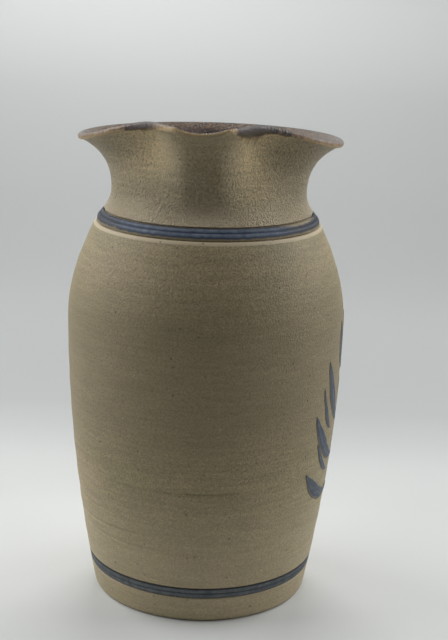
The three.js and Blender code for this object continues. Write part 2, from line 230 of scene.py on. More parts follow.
def belly_inside(count=40):
    fillet_top = FLOOR_THICKNESS + FLOOR_FILLET
    wall_foot = wall_point(fillet_top, BODY_WALL)
    corner = np.array([wall_radius(FLOOR_THICKNESS) - BODY_WALL, FLOOR_THICKNESS])
    floor_edge = np.array([wall_foot[0] - FLOOR_FILLET, FLOOR_THICKNESS])
    return np.concatenate([
        [[0, FLOOR_THICKNESS]],
        spread([8, FLOOR_THICKNESS], floor_edge, 6)[:-1],
        bend(floor_edge, corner, wall_foot, spread(0, 1, 10)),
        wall_line(fillet_top, BODY_HEIGHT, count, BODY_WALL)[1:],
    ])


def moved_left(points, lift):
    """The line moved to the left of the way it runs, by one lift for each point or for all."""
    along = np.gradient(points, axis=0)
    along /= np.linalg.norm(along, axis=1)[:, None]
    left = np.stack([-along[:, 1], along[:, 0]], axis=1)
    return points + left * np.broadcast_to(lift, len(points))[:, None]


# Turning, pulling and joining

def turns(count, crowding):
    """Angles once round the pot from the back, closer together at the spout."""
    even = spread(-math.pi, math.pi, count + 1)[:-1]
    return even - crowding * np.sin(even)


def pulled_spout(angle, radius, height):
    """The rim risen at the front, its lip pulled out and down, a hollow pressed in at each side."""
    degrees = np.degrees(angle)
    share = smooth_share(height, BODY_HEIGHT + FOLD_HEIGHT, RIM_TOP)
    past_crease = np.abs(degrees) - SPOUT_ANGLE
    hollow = (past_crease + np.hypot(past_crease, CREASE_ANGLE)) / 2 / PINCH_ANGLE
    pinch = PINCH_DEPTH * hollow * np.exp((1 - hollow ** 2) / 2)
    reach = SPOUT_REACH * fade(degrees, SPOUT_ANGLE + PINCH_ANGLE / 2, 4)
    rise = RIM_RISE * fade(degrees, RIM_RISE_ANGLE, 4)
    dip = LIP_DIP * np.clip(1 - (degrees / SPOUT_ANGLE) ** 2, 0, None)
    return radius + share * (reach - pinch), height + share * (rise - dip)


def on_pot(angle, radius, height):
    return np.stack([radius * np.sin(angle), -radius * np.cos(angle), height], axis=-1)


def grid_faces(rows, columns, wrap_rows, wrap_columns):
    """Quads over a grid whose points are numbered row by row."""
    row_end = rows if wrap_rows else rows - 1
    column_end = columns if wrap_columns else columns - 1
    faces = []
    for row in range(row_end):
        next_row = (row + 1) % rows
        for column in range(column_end):
            next_column = (column + 1) % columns
            faces.append((
                row * columns + column,
                next_row * columns + column,
                next_row * columns + next_column,
                row * columns + next_column,
            ))
    return faces


def add_piece(name, points, faces, material, node, marks=None):
    """A piece that stands for one node of the solids. Marks are values painted on its points."""
    mesh = bpy.data.meshes.new(name)
    mesh.from_pydata((np.asarray(points) * MM).tolist(), [], faces)
    mesh.polygons.foreach_set("use_smooth", [True] * len(mesh.polygons))
    for mark, values in (marks or {}).items():
        layer = mesh.attributes.new(mark, "FLOAT", "POINT")
        layer.data.foreach_set("value", np.asarray(values, np.float32).ravel())
    mesh.materials.append(material)
    mesh.validate()
    piece = bpy.data.objects.new(name, mesh)
    scene.collection.objects.link(piece)
    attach(piece, "root")
    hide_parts(node)


def add_turned(name, angle, radius, height, closed, material, node, marks=None):
    """A turned piece from grids of one row for each angle. Open profiles start and end on the axis."""
    rows, columns = radius.shape
    points = on_pot(np.broadcast_to(angle[:, None], radius.shape), radius, height)
    if closed:
        faces = grid_faces(rows, columns, True, True)
        add_piece(name, points.reshape(-1, 3), faces, material, node, marks)
        return
    rim = points[:, 1:-1]
    inner = columns - 2
    faces = grid_faces(rows, inner, True, False)
    first, last = rows * inner, rows * inner + 1
    for row in range(rows):
        after = (row + 1) % rows
        faces.append((first, after * inner, row * inner))
        faces.append((last, row * inner + inner - 1, after * inner + inner - 1))
    poles = np.array([points[0, 0], points[0, -1]])
    painted = {}
    for mark, values in (marks or {}).items():
        values = np.broadcast_to(values, radius.shape)
        painted[mark] = np.concatenate([values[:, 1:-1].ravel(), [values[0, 0], values[0, -1]]])
    add_piece(name, np.concatenate([rim.reshape(-1, 3), poles]), faces, material, node, painted)


# Finishes: shared effects as node groups, then the materials

def srgb(red, green, blue):
    """A colour written as 0 to 255 screen values, in the linear values that shaders take."""
    def linear(value):
        value /= 255
        return value / 12.92 if value <= 0.04045 else ((value + 0.055) / 1.055) ** 2.4
    return (linear(red), linear(green), linear(blue), 1.0)


class Sketch:
    """Adds nodes to one tree and joins them."""

    def __init__(self, tree):
        self.tree = tree

    def add(self, kind, **settings):
        node = self.tree.nodes.new(kind)
        for name, value in settings.items():
            setattr(node, name, value)
        return node

    def join(self, source, target):
        self.tree.links.new(source, target)

    def put(self, value, target):
        if isinstance(value, bpy.types.NodeSocket):
            self.join(value, target)
        else:
            target.default_value = value

    def math(self, operation, first, second=0.0):
        node = self.add("ShaderNodeMath", operation=operation)
        self.put(first, node.inputs[0])
        self.put(second, node.inputs[1])
        return node.outputs[0]

    def mix(self, share, first, second, blend="MIX"):
        node = self.add("ShaderNodeMix", data_type="RGBA", blend_type=blend)
        self.put(share, node.inputs[0])
        self.put(first, node.inputs[6])
        self.put(second, node.inputs[7])
        return node.outputs[2]

    def between(self, value, start, end, low=0.0, high=1.0):
        node = self.add("ShaderNodeMapRange", interpolation_type="SMOOTHSTEP")
        self.put(value, node.inputs[0])
        for index, number in enumerate((start, end, low, high)):
            self.put(number, node.inputs[index + 1])
        return node.outputs[0]

    def noise(self, vector, scale, detail=2.0, roughness=0.5):
        node = self.add("ShaderNodeTexNoise")
        self.join(vector, node.inputs["Vector"])
        self.put(scale, node.inputs["Scale"])
        node.inputs["Detail"].default_value = detail
        node.inputs["Roughness"].default_value = roughness
        return node.outputs["Fac"]

    def cells(self, vector, scale):
        node = self.add("ShaderNodeTexVoronoi", feature="F1")
        self.join(vector, node.inputs["Vector"])
        self.put(scale, node.inputs["Scale"])
        return node

    def stretched(self, vector, scale):
        node = self.add("ShaderNodeVectorMath", operation="MULTIPLY")
        self.join(vector, node.inputs[0])
        node.inputs[1].default_value = scale
        return node.outputs[0]

    def painted(self, mark):
        return self.add("ShaderNodeAttribute", attribute_name=mark).outputs["Fac"]

    def place(self, group, **values):
        node = self.add("ShaderNodeGroup", node_tree=group)
        for name, value in values.items():
            self.put(value, node.inputs[name])
        return node


def effect(name, inputs, outputs):
    """An empty node group with named sockets, its sketch, its inputs and its outputs."""
    group = bpy.data.node_groups.new(name, "ShaderNodeTree")
    for socket, kind in inputs.items():
        group.interface.new_socket(socket, in_out="INPUT", socket_type=kind)
    for socket, kind in outputs.items():
        group.interface.new_socket(socket, in_out="OUTPUT", socket_type=kind)
    draw = Sketch(group)
    return group, draw, draw.add("NodeGroupInput").outputs, draw.add("NodeGroupOutput").inputs


NUMBER, VECTOR = "NodeSocketFloat", "NodeSocketVector"
NOISE_SPAN = 0.3, 0.7
MOTTLE_SCALE, MOTTLE_FLATTENED = 24.0, (1.0, 1.0, 2.2)
STREAK_SCALE, STREAK_FLATTENED = 42.0, (1.0, 1.0, 14.0)
SPECK_SPACING, SPECK_SIZE = 240.0, 0.17


def fired_grain():
    """Skin of salt-glazed clay: its orange-peel height, a broad mottle and fine streaks of the wheel."""
    group, draw, given, out = effect(
        "fired grain",
        {"Place": VECTOR, "Grain": NUMBER},
        {"Height": NUMBER, "Mottle": NUMBER, "Streaks": NUMBER},
    )
    place = given["Place"]
    peel = draw.noise(place, given["Grain"], 2.0, 0.6)
    fine = draw.noise(place, draw.math("MULTIPLY", given["Grain"], 2.2), 1.0)
    height = draw.math("ADD", draw.math("MULTIPLY", peel, 0.65), draw.math("MULTIPLY", fine, 0.35))
    draw.join(height, out["Height"])
    mottle = draw.noise(draw.stretched(place, MOTTLE_FLATTENED), MOTTLE_SCALE, 4.0, 0.6)
    draw.join(mottle, out["Mottle"])
    streaks = draw.noise(draw.stretched(place, STREAK_FLATTENED), STREAK_SCALE, 3.0, 0.6)
    draw.join(streaks, out["Streaks"])
    return group


def iron_specks():
    """Scattered dark iron spots and a few pale pits, as masks."""
    group, draw, given, out = effect(
        "iron specks",
        {"Place": VECTOR, "Spacing": NUMBER, "Size": NUMBER},
        {"Dark": NUMBER, "Pale": NUMBER},
    )
    for name, spacing, share in (("Dark", 1.0, 0.42), ("Pale", 1.37, 0.16)):
        cells = draw.cells(given["Place"], draw.math("MULTIPLY", given["Spacing"], spacing))
        chance = draw.add("ShaderNodeSeparateColor")
        draw.join(cells.outputs["Color"], chance.inputs[0])
        present = draw.math("LESS_THAN", chance.outputs[0], share)
        size = draw.math("MULTIPLY", given["Size"], draw.math("ADD", chance.outputs[1], 0.25))
        spot = draw.between(cells.outputs["Distance"], size, draw.math("MULTIPLY", size, 0.45))
        draw.join(draw.math("MULTIPLY", spot, present), out[name])
    return group


def level_band():
    """A mask that is full between two heights, with soft edges."""
    group, draw, given, out = effect(
        "level band",
        {"Place": VECTOR, "Foot": NUMBER, "Head": NUMBER, "Softness": NUMBER},
        {"Mask": NUMBER},
    )
    split = draw.add("ShaderNodeSeparateXYZ")
    draw.join(given["Place"], split.inputs[0])
    height = split.outputs[2]
    start = draw.math("SUBTRACT", given["Foot"], given["Softness"])
    end = draw.math("ADD", given["Head"], given["Softness"])
    rising = draw.between(height, start, given["Foot"])
    falling = draw.between(height, given["Head"], end, 1.0, 0.0)
    draw.join(draw.math("MULTIPLY", rising, falling), out["Mask"])
    return group


GRAIN = fired_grain()
SPECKS = iron_specks()
BAND = level_band()


def new_material(name):
    material = bpy.data.materials.new(name)
    material.use_nodes = True
    draw = Sketch(material.node_tree)
    shader = material.node_tree.nodes["Principled BSDF"]
    place = draw.add("ShaderNodeTexCoord").outputs["Object"]
    return material, draw, shader, place


def add_bump(draw, shader, height, depth):
    bump = draw.add("ShaderNodeBump")
    bump.inputs["Strength"].default_value = 1.0
    bump.inputs["Distance"].default_value = depth
    draw.join(height, bump.inputs["Height"])
    draw.join(bump.outputs["Normal"], shader.inputs["Normal"])


CLAY_TONE, CLAY_WARM = srgb(144, 133, 100), srgb(153, 138, 106)
NECK_TONE, NECK_WARM = srgb(153, 140, 109), srgb(161, 146, 113)
# Slip darkened at the cords' edges and sides, partly pooled slip and partly painted shade
BLUE_STAIN, POOLED_AND_SHADED_SLIP, THIN_SLIP = srgb(66, 71, 80), srgb(54, 59, 68), srgb(133, 125, 101)
# Pale wash and painted light, painted shade for the belly, painted highlight beside the spout
PALE_WASH_AND_PAINTED_LIGHT, BELLY_PAINTED_SHADE, FLANK_PAINTED_HIGHLIGHT = srgb(208, 192, 162), srgb(122, 110, 85), srgb(220, 200, 157)
PALE_PIT, IRON_SPOT = srgb(206, 194, 166), srgb(58, 47, 36)
GLAZE_DEEP, GLAZE_CLOUDED = srgb(52, 44, 42), srgb(70, 60, 57)
GLAZE_AMBER, GLAZE_GOLD = srgb(126, 100, 76), srgb(172, 146, 102)


def salt_glazed_clay(name, tone, warm_tone, grain, bump_depth, roughness, stains_and_painted_light=()):
    """Bare clay under salt glaze. Stains, some of them painted light and shade, are level bands: foot,
    head, softness, share, colour.
    """
    material, draw, shader, place = new_material(name)
    skin = draw.place(GRAIN, Place=place, Grain=grain)
    spots = draw.place(SPECKS, Place=place, Spacing=SPECK_SPACING, Size=SPECK_SIZE)
    colour = draw.mix(draw.between(skin.outputs["Mottle"], 0.35, 0.65), tone, warm_tone)
    # Painted highlight on the flanks beside the spout, where a piece carries that mark
    colour = draw.mix(draw.painted("flank_highlight"), colour, FLANK_PAINTED_HIGHLIGHT)
    # The peel darker in its pits and lighter on its tops: painted shade and light that follow the bump
    peel_shade = draw.between(skin.outputs["Height"], *NOISE_SPAN, 0.62, 1.38)
    colour = draw.mix(1.0, colour, peel_shade, "MULTIPLY")
    streak_shade = draw.between(skin.outputs["Streaks"], *NOISE_SPAN, 0.9, 1.1)
    colour = draw.mix(1.0, colour, streak_shade, "MULTIPLY")
    for foot, head, softness, share, band_colour in stains_and_painted_light:
        band = draw.place(BAND, Place=place, Foot=foot * MM, Head=head * MM, Softness=softness * MM)
        colour = draw.mix(draw.math("MULTIPLY", band.outputs["Mask"], share), colour, band_colour)
    colour = draw.mix(draw.math("MULTIPLY", spots.outputs["Pale"], 0.35), colour, PALE_PIT)
    colour = draw.mix(draw.math("MULTIPLY", spots.outputs["Dark"], 0.6), colour, IRON_SPOT)
    draw.join(colour, shader.inputs["Base Color"])
    rough = draw.between(skin.outputs["Height"], *NOISE_SPAN, roughness - 0.08, roughness + 0.08)
    draw.join(rough, shader.inputs["Roughness"])
    add_bump(draw, shader, skin.outputs["Height"], bump_depth)
    return material


def blue_slip(name, deep, pale, edge):
    """Cobalt slip: paler along its middle, another tone at its edges, clay where it is worn. On the cords
    the paler middle and darker edges and sides are painted light and shade; on the sprig they are the
    wash of the brush.
    """
    material, draw, shader, place = new_material(name)
    skin = draw.place(GRAIN, Place=place, Grain=900.0)
    middle = draw.painted("middle")
    cloud = draw.noise(place, 260.0, 3.0, 0.65)
    load = draw.math("ADD", draw.math("MULTIPLY", cloud, 0.6), draw.math("MULTIPLY", middle, 0.4))
    blue = draw.mix(draw.between(load, 0.45, 0.85), deep, pale)
    full = draw.math("ADD", middle, draw.math("MULTIPLY", draw.math("SUBTRACT", cloud, 0.5), 0.5))
    colour = draw.mix(draw.between(full, 0.0, 0.6), edge, blue)
    colour = draw.mix(draw.between(draw.painted("wear"), cloud, 1.0), colour, NECK_TONE)
    draw.join(colour, shader.inputs["Base Color"])
    rough = draw.between(skin.outputs["Height"], *NOISE_SPAN, 0.45, 0.62)
    draw.join(rough, shader.inputs["Roughness"])
    shader.inputs["Specular IOR Level"].default_value = 0.3
    add_bump(draw, shader, skin.outputs["Height"], 0.00012)
    return material


def brown_glaze():
    """Dark brown liner glaze that breaks to gold and tan where it thins over the edge of the rim."""
    material, draw, shader, place = new_material("brown_glaze")
    thin = draw.painted("thinness")
    streak = draw.noise(draw.stretched(place, (1.0, 1.0, 0.3)), 700.0, 3.0, 0.6)
    cloud = draw.noise(place, 90.0, 2.0)
    deep = draw.mix(draw.between(cloud, *NOISE_SPAN), GLAZE_DEEP, GLAZE_CLOUDED)
    broken = draw.math("ADD", thin, draw.math("MULTIPLY", draw.math("SUBTRACT", streak, 0.5), 0.5))
    amber = draw.mix(draw.between(broken, 0.25, 0.5), deep, GLAZE_AMBER)
    gold = draw.mix(draw.between(broken, 0.45, 0.65), amber, GLAZE_GOLD)
    bare = draw.mix(draw.between(broken, 0.7, 0.95), gold, NECK_TONE)
    draw.join(bare, shader.inputs["Base Color"])
    draw.join(draw.between(broken, 0.6, 1.0, 0.16, 0.4), shader.inputs["Roughness"])
    add_bump(draw, shader, draw.noise(place, 900.0, 2.0), 0.0008)
    return material


body_clay = salt_glazed_clay(
    "body_clay", CLAY_TONE, CLAY_WARM, 1100.0, 0.00045, 0.58,
    stains_and_painted_light=[
        # Painted light: the lower body paler, standing in for light from the floor
        (0.0, 25.0, 60.0, 0.27, PALE_WASH_AND_PAINTED_LIGHT),
        # Painted shade across the middle of the belly
        (115.0, 150.0, 40.0, 0.45, BELLY_PAINTED_SHADE),
        (FOOT_LINES_HEIGHT, FOOT_LINES_HEIGHT + PAIR_WIDTH, 0.6, 0.85, BLUE_STAIN),
        # A pale salt line along the ridge, partly a painted highlight on its top
        (BODY_HEIGHT - 1.6 * RIDGE_ROUND, BODY_HEIGHT, 0.9, 0.75, PALE_WASH_AND_PAINTED_LIGHT),
    ],
)
neck_clay = salt_glazed_clay(
    "neck_clay", NECK_TONE, NECK_WARM, 950.0, 0.0026, 0.34,
    stains_and_painted_light=[
        (BAND_LINES_FOOT[1], BAND_HEAD[1], 0.4, 0.9, BLUE_STAIN),
        # Pale slip smeared above the band, partly painted light on the foot of the neck
        (NECK_FOOT[1], NECK_FOOT[1] + 0.5, 14.0, 0.5, PALE_WASH_AND_PAINTED_LIGHT),
    ],
)
handle_clay = salt_glazed_clay("handle_clay", CLAY_TONE, CLAY_WARM, 1100.0, 0.0005, 0.55)
shoulder_slip = blue_slip("shoulder_slip", srgb(64, 76, 98), srgb(110, 120, 133), POOLED_AND_SHADED_SLIP)
foot_slip = blue_slip("foot_slip", srgb(66, 71, 77), srgb(108, 112, 114), POOLED_AND_SHADED_SLIP)
sprig_slip = blue_slip("sprig_slip", srgb(50, 61, 80), srgb(98, 107, 118), THIN_SLIP)
liner = brown_glaze()


# The thrown belly

BODY_TURNS = 300
body_turn = turns(BODY_TURNS, 0.3)
RING_DEPTH = 0.07
SCORE_WIDTH = 0.8

# Scored lines: height, lean per degree, middle and reach in degrees, depth
SCORED_LINES = [
    (74.0, 0.020, 8.0, 42.0, 0.6),
    (46.5, 0.030, -52.0, 30.0, 0.6),
    (40.0, -0.015, -20.0, 40.0, 0.45),
    (55.0, 0.018, -66.0, 24.0, 0.5),
    (86.0, -0.020, 140.0, 60.0, 0.45),
    (60.0, 0.015, 100.0, 50.0, 0.45),
    (33.0, 0.012, -150.0, 60.0, 0.45),
]


def throwing_marks(angle, height):
    """Shallow finger rings and a few scored lines left by the wheel, as depths to take off the wall."""
    degrees = np.degrees(angle)
    rings = RING_DEPTH * (1 + np.sin(height / 2.6 + 0.5 * np.sin(height / 9.0) + angle))
    low = smooth_share(height, 22, 34) * (1 - smooth_share(height, 120, 165))
    depth = rings * (low + smooth_share(height, 172, 182))
    for level, lean, middle, reach, cut in SCORED_LINES:
        offset = (degrees - middle + 180) % 360 - 180
        line = height - level - lean * offset
        depth = depth + cut * fade(line, SCORE_WIDTH, 2) * fade(offset, reach, 4)
    return depth


def add_body():
    groove_foot, groove_head = FOOT_LINES_HEIGHT, FOOT_LINES_HEIGHT + PAIR_WIDTH
    ridge_foot = BODY_HEIGHT - RIDGE_ROUND
    heel = bend(
        np.array([BASE_RADIUS - HEEL_ROUND, 0]),
        np.array([BASE_RADIUS, 0]),
        wall_point(HEEL_ROUND, 0),
        spread(0, 1, 9),
    )
    base = spread([0, 0], heel[0], 5)[:-1]
    outside = with_rounded_corners(
        np.concatenate([
            heel[-1:],
            [wall_point(groove_foot - LINE_SEAT, 0), wall_point(groove_foot, LINE_SEAT)],
            [wall_point(groove_head, LINE_SEAT), wall_point(groove_head + LINE_SEAT, 0)],
            wall_line(groove_head + 2 * LINE_SEAT, BELLY_HEIGHT, 60),
            wall_line(BELLY_HEIGHT, ridge_foot, 40)[1:-1],
        ]),
        EDGE_ROUND,
    )
    outside = drawn_finely(outside, RING_STEP)
    ridge = bend(
        wall_point(ridge_foot, 0),
        np.array([SHOULDER_RADIUS, BODY_HEIGHT]),
        np.array([SHOULDER_RADIUS - RIDGE_ROUND, BODY_HEIGHT]),
        spread(0, 1, 11),
    )
    profile = np.concatenate([
        base,
        heel,
        outside[1:],
        ridge,
        spread(ridge[-1], [SHOULDER_RADIUS - BODY_WALL, BODY_HEIGHT], 4)[1:-1],
        belly_inside(24)[::-1],
    ])
    first = len(base) + len(heel)
    marked = np.zeros(len(profile), bool)
    marked[first:first + len(outside) - 1] = True
    height = np.broadcast_to(profile[:, 1], (BODY_TURNS, len(profile)))
    depth = np.where(marked, throwing_marks(body_turn[:, None], height), 0)
    radius = profile[:, 0] - depth
    add_turned("thrown_belly", body_turn, radius, height, False, body_clay, "body")


# The thrown collar with its pulled spout

COLLAR_TURNS = 420
collar_turn = turns(COLLAR_TURNS, 0.55)


def painted_flank_highlight(angle, height):
    """A painted highlight beside the spout, standing in for the light its flanks catch, stronger towards
    the rim.
    """
    degrees = np.degrees(angle)
    left_rise = smooth_share(height, WAIST[1] + 3, RIM_TOP - 12)
    right_rise = smooth_share(height, WAIST[1] - 4, RIM_TOP - 10)
    left = fade(degrees + 38, 20, 2) * (0.06 + 0.94 * left_rise)
    right = fade(degrees - 31, 16, 2) * (0.35 + 0.6 * right_rise)
    return left + right


def add_collar():
    outside = np.concatenate([[BAND_FOOT, BAND_HEAD], neck_outside()])
    outside = with_rounded_corners(outside, EDGE_ROUND)
    profile = np.concatenate([
        outside,
        lip_arc()[::-1][1:-1],
        neck_inside()[::-1],
        spread([SHOULDER_RADIUS - BODY_WALL, COLLAR_BASE], BAND_FOOT, 5)[1:-1],
    ])
    radius = np.broadcast_to(profile[:, 0], (COLLAR_TURNS, len(profile)))
    height = np.broadcast_to(profile[:, 1], (COLLAR_TURNS, len(profile)))
    # Painted highlight beside the spout
    flank_highlight = painted_flank_highlight(collar_turn[:, None], height)
    radius, height = pulled_spout(collar_turn[:, None], radius, height)
    add_turned(
        "thrown_collar", collar_turn, radius, height, True, neck_clay, "collar",
        {"flank_highlight": flank_highlight},
    )


# The glaze coat inside and over the rim

def glaze_run(angle):
    """How far the glaze has run down the outside of the rim: further in the hollows beside the spout."""
    degrees = np.degrees(angle)
    ragged = (
        0.18 * np.sin(degrees * 0.83 + 1.0)
        + 0.14 * np.sin(degrees * 1.9)
        + 0.1 * np.sin(degrees * 3.7 + 2)
    )
    left = 3.4 * fade(degrees + 35, 12, 2)
    right = 9.0 * fade(degrees - 25, 10, 4) + 2.0 * fade(degrees - 40, 15, 2)
    return 0.5 * (1 + ragged) + (left + right) * (1 + 0.6 * ragged)


def add_glaze():
    inside = np.concatenate([belly_inside(), neck_inside()[1:]])
    lip = lip_arc()
    outer = neck_outside(60)[::-1]
    walked = walked_along(outer)
    run_share = spread(0, 1, 15)[1:]
    skins = []
    thinness = []
    for angle in collar_turn:
        reach = glaze_run(angle)
        run = [np.interp(run_share * reach, walked, outer[:, axis]) for axis in (0, 1)]
        run = np.stack(run, axis=1)
        path = np.concatenate([inside, lip[1:], run])
        lift = np.full(len(path), COAT - COAT_EASE)
        lift[-len(run):] *= 1 - smooth_share(run_share, 0, 1)
        skins.append(np.concatenate([moved_left(path, lift), moved_left(path, -SKIN_SUNK)[::-1]]))
        over_lip = spread(0, 1, len(lip))[1:]
        pooled = smooth_share(reach, 0.7, 3.2)
        heavy = smooth_share(reach, 5.0, 9.0)
        past = smooth_share(over_lip, 0.55, 1.0)
        crest = 0.34 + 0.36 * fade(np.degrees(angle), 14, 4)
        crest = crest * smooth_share(over_lip, 0.1, 0.45) * (1 - heavy) * (1 - 0.6 * pooled)
        on_lip = 0.15 + crest * (1 - pooled * past) + 0.27 * (1 - pooled) * past
        on_run = 1 - 0.88 * pooled * (1 - run_share ** 2)
        on_inside = 0.38 * smooth_share(inside[:, 1], RIM_TOP - 14, RIM_TOP)
        face = np.concatenate([on_inside, on_lip, on_run])
        thinness.append(np.concatenate([face, face[::-1]]))
    skins = np.array(skins)
    radius, height = pulled_spout(collar_turn[:, None], skins[:, :, 0], skins[:, :, 1])
    radius = np.maximum(radius, 0)
    add_turned(
        "glaze_coat", collar_turn, radius, height, False, liner, "liner_glaze",
        {"thinness": np.array(thinness)},
    )


# Slip lines

LINE_TURNS = 240


def add_line(name, node, foot, up, slip, rise, skirt, side_shade, worn_left, worn_right):
    """One rounded cord of slip on its seat, a little uneven as the brush leaves it.

    The skirt is a thin wash under the cord, as a share of its width, and the side shade is painted shade
    that darkens the cord at the sides of the pot. Wear bares clay along the cord's foot on the left, its
    head on the right.
    """
    out = np.array([up[1], -up[0]])
    across = np.concatenate([spread(-skirt, 0, 7)[:-1], spread(0, 1, 17)])
    thin = smooth_share(across, -skirt - 0.01, 0)
    crown = np.where(across < 0, 0.05 + 0.55 * thin, 0.6 + 0.4 * (1 - (2 * across - 1) ** 2))
    # Paler along the crest and darker at the edges: painted light and shade on the rounded cord
    crest = np.where(across < 0, 0.3, 1 - 0.7 * np.abs(2 * across - 1) ** 3)
    angle = turns(LINE_TURNS, 0.0)
    degrees = np.degrees(angle)[:, None]
    uneven = 1 + 0.05 * np.sin(5 * angle) + 0.04 * np.sin(13 * angle + 1) + 0.03 * np.sin(29 * angle + 2)
    face = foot + up * (across * (LINE_WIDTH + LINE_GAP) - LINE_GAP / 2)[:, None]
    seat = foot + up * (np.array([0.85, 0.5, 0.15]) * LINE_WIDTH)[:, None]
    bare = np.zeros(len(seat))
    lift = np.concatenate([crown, bare - SKIN_SUNK])
    path = np.concatenate([face, seat])
    proud = np.where(lift[None] > 0, lift[None] * rise * uneven[:, None], lift[None])
    radius = path[:, 0] + out[0] * proud
    height = path[:, 1] + out[1] * proud
    # Painted shade: the cord darker towards the sides of the pot
    front = 1 - side_shade * smooth_share(np.abs(degrees), 25, 60)
    middle = front * np.concatenate([crest, bare])
    towards_head = np.concatenate([np.clip(across, 0, 1), bare])
    left_wear = worn_left * fade(degrees + 50, 28, 2) * (1.1 - 1.1 * towards_head)
    right_wear = worn_right * fade(degrees - 62, 28, 2) * (0.45 + 0.75 * towards_head)
    on_skirt = np.concatenate([np.where(across < 0, 0.95 - 0.35 * thin, 0), bare])
    wear = np.maximum(left_wear + right_wear, on_skirt)
    marks = {"middle": middle, "wear": wear}
    add_turned(name, angle, radius, height, True, slip, node, marks)


def add_lines():
    foot_seat = wall_point(FOOT_LINES_HEIGHT, LINE_SEAT)
    foot_up = wall_point(FOOT_LINES_HEIGHT + PAIR_WIDTH, LINE_SEAT) - foot_seat
    foot_up = foot_up / np.linalg.norm(foot_up)
    # Each band: name, seat, up, slip, rise and painted side shade
    shoulder = "shoulder", BAND_LINES_FOOT, BAND_UP, shoulder_slip, 1.25, 0.85
    foot = "foot", foot_seat, foot_up, foot_slip, 0.75, 0.3
    for band, place, skirt, worn_left, worn_right in (
        (shoulder, "lower", 0.4, 0.6, 0.0),
        (shoulder, "upper", 0.0, 0.0, 1.0),
        (foot, "lower", 0.0, 0.0, 0.0),
        (foot, "upper", 0.0, 0.0, 0.0),
    ):
        band_name, seat, up, slip, rise, side_shade = band
        below = LINE_WIDTH + LINE_GAP if place == "upper" else 0.0
        start = seat + up * (LINE_GAP + below)
        add_line(
            f"{band_name}_slip_{place}", f"{band_name}_line_{place}", start, up, slip,
            rise, skirt, side_shade, worn_left, worn_right,
        )


# The pulled handle and the clay that holds its ends

UPPER_JOINT = np.array([WAIST_RADIUS, RIM_TOP - HANDLE_DROP])
LOWER_JOINT = wall_point(UPPER_JOINT[1] - HANDLE_SPAN, 0)
HANDLE_BOW = BELLY_RADIUS + FINGER_ROOM + STRAP_THICKNESS_TOP / 2
HANDLE_PULL = (HANDLE_BOW - (UPPER_JOINT[0] + LOWER_JOINT[0]) / 8) / 0.75
STRAP_SIDES = 64
LUTE_SIDES = 96
LUTE_SEARCH = 14.0


def strap_line():
    """Points and distances along the middle of the strap, as (outwards, up)."""
    share = spread(0, 1, 400)[:, None]
    first = np.array([HANDLE_PULL, UPPER_JOINT[1] + HANDLE_RISE])
    second = np.array([HANDLE_PULL, LOWER_JOINT[1] + HANDLE_SWEEP])
    points = (
        UPPER_JOINT * (1 - share) ** 3
        + 3 * first * share * (1 - share) ** 2
        + 3 * second * share ** 2 * (1 - share)
        + LOWER_JOINT * share ** 3
    )
    return points, walked_along(points)


STRAP_POINTS, STRAP_WALKED = strap_line()
STRAP_LENGTH = STRAP_WALKED[-1]


def strap_ring(distance, extra, side):
    """Points of the strap's skin at distances along it, grown by extra, for angles round its section."""
    share = np.clip(distance / STRAP_LENGTH, 0, 1)
    within = share * STRAP_LENGTH
    ahead = np.minimum(within + 0.5, STRAP_LENGTH)
    behind = np.maximum(within - 0.5, 0)

    def at(walk):
        spots = [np.interp(walk, STRAP_WALKED, STRAP_POINTS[:, axis]) for axis in (0, 1)]
        return np.stack(spots, axis=-1)

    along = at(ahead) - at(behind)
    along = along / np.linalg.norm(along, axis=-1)[..., None]
    centre = at(within) + along * (distance - within)[..., None]
    out = np.stack([-along[..., 1], along[..., 0]], axis=-1)
    width = np.interp(share, [0, 0.5, 1], [STRAP_WIDTH_TOP, STRAP_WIDTH_MIDDLE, STRAP_WIDTH_BOTTOM])
    thickness = STRAP_THICKNESS_TOP + (STRAP_THICKNESS_BOTTOM - STRAP_THICKNESS_TOP) * share
    sideways, upwards = np.cos(side), np.sin(side)
    across = (width / 2 + extra) * np.sign(sideways) * np.abs(sideways) ** STRAP_SQUARENESS
    groove = STRAP_GROOVE * fade(across, STRAP_GROOVE_WIDTH, 2) * np.clip(upwards, 0, 1)
    outward = (thickness / 2 + extra) * np.sign(upwards) * np.abs(upwards) ** STRAP_SQUARENESS - groove
    spot = centre + out * outward[..., None]
    return np.stack([across, spot[..., 0], spot[..., 1]], axis=-1)


def outside_radius(height):
    neck = neck_outside(60)
    order = np.argsort(neck[:, 1])
    on_neck = np.interp(height, neck[order, 1], neck[order, 0])
    return np.where(height > NECK_FOOT[1], on_neck, wall_radius(np.minimum(height, BODY_HEIGHT)))


def add_handle():
    side = spread(0, 2 * math.pi, STRAP_SIDES + 1)[:-1]
    distance = spread(-STRAP_END_SUNK, STRAP_LENGTH + STRAP_END_SUNK, 130)
    grid = np.broadcast_to(distance[:, None], (len(distance), STRAP_SIDES))
    ripple = 0.1 * np.sin(grid / 6.0 + np.cos(side)) + 0.07 * np.sin(grid / 2.9 + 3 * np.sin(side))
    points = strap_ring(grid, ripple - STRAP_EASE, side[None])
    faces = [face[::-1] for face in grid_faces(len(distance), STRAP_SIDES, False, True)]
    last = (len(distance) - 1) * STRAP_SIDES
    faces.append(tuple(range(STRAP_SIDES)))
    faces.append(tuple(last + index for index in reversed(range(STRAP_SIDES))))
    add_piece("pulled_handle", points.reshape(-1, 3), faces, handle_clay, "handle")
    add_lute("upper_lute_clay", "handle_upper_lute", True)
    add_lute("lower_lute_clay", "handle_lower_lute", False)


